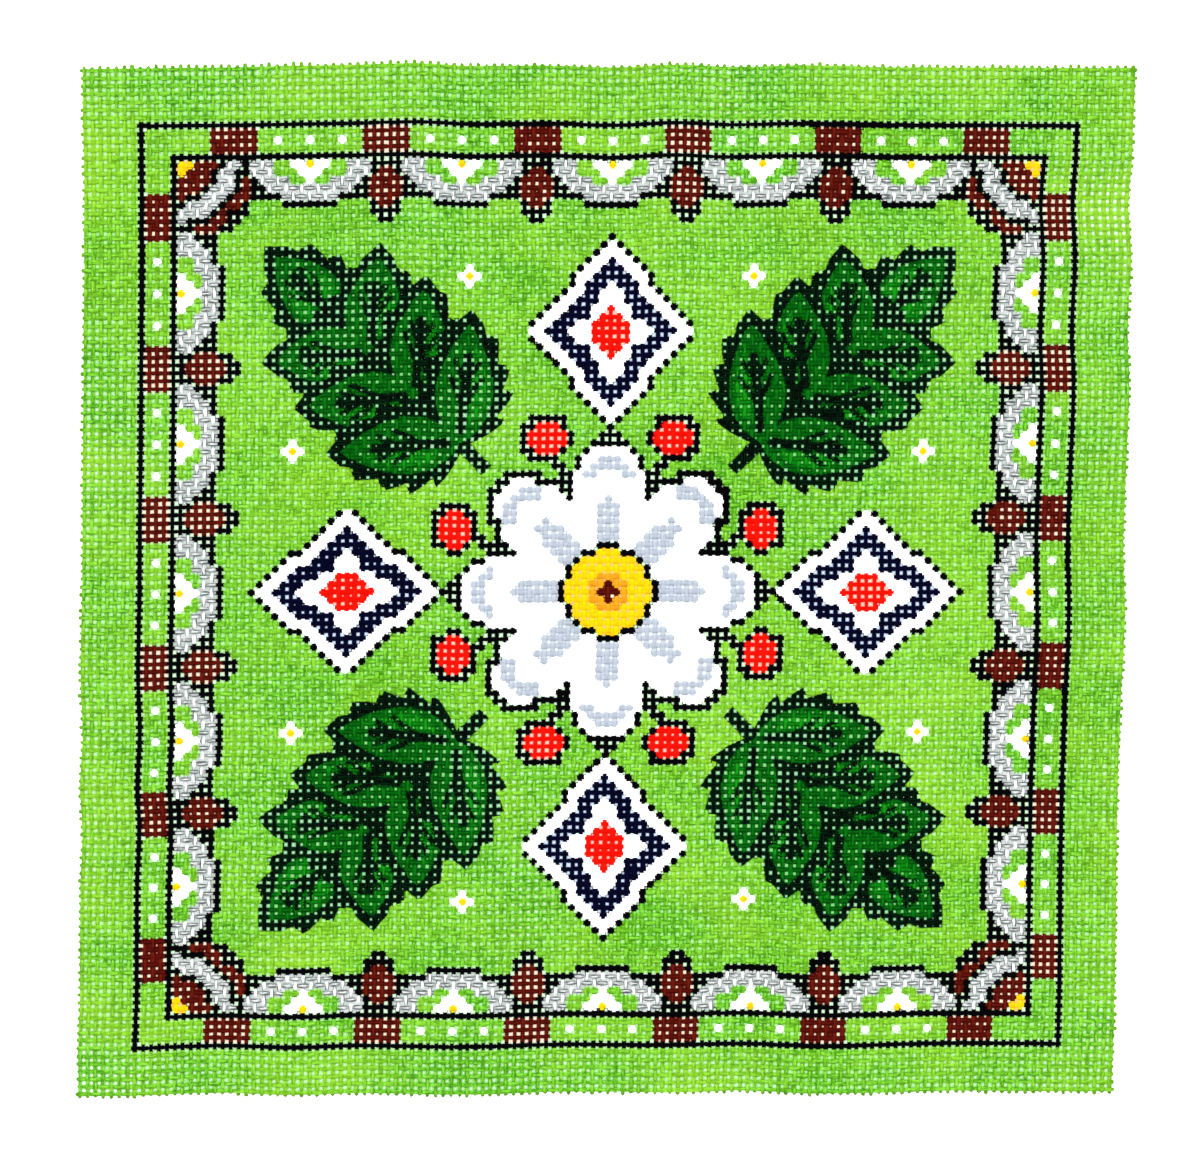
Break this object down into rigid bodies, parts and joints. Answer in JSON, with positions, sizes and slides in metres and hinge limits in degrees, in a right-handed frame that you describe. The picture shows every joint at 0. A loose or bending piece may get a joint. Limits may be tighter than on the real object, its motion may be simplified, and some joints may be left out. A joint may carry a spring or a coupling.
{
  "type": "needlepoint canvas panel",
  "caption": "Flat, nearly square panel of open-mesh cotton needlepoint canvas, painted ready for stitching, with raw cut edges and the front up.",
  "frame": {"origin": "on the underside, at the middle of the outline's box", "axes": "+Z out of the painted front, +Y towards the top side of the design, +X towards its right side"},
  "size_m": [0.2634, 0.2574, 0.0011],
  "materials": {
    "canvas": "matte"
  },
  "bodies": {
    "root": {"canvas": "canvas"}
  },
  "joints": []
}
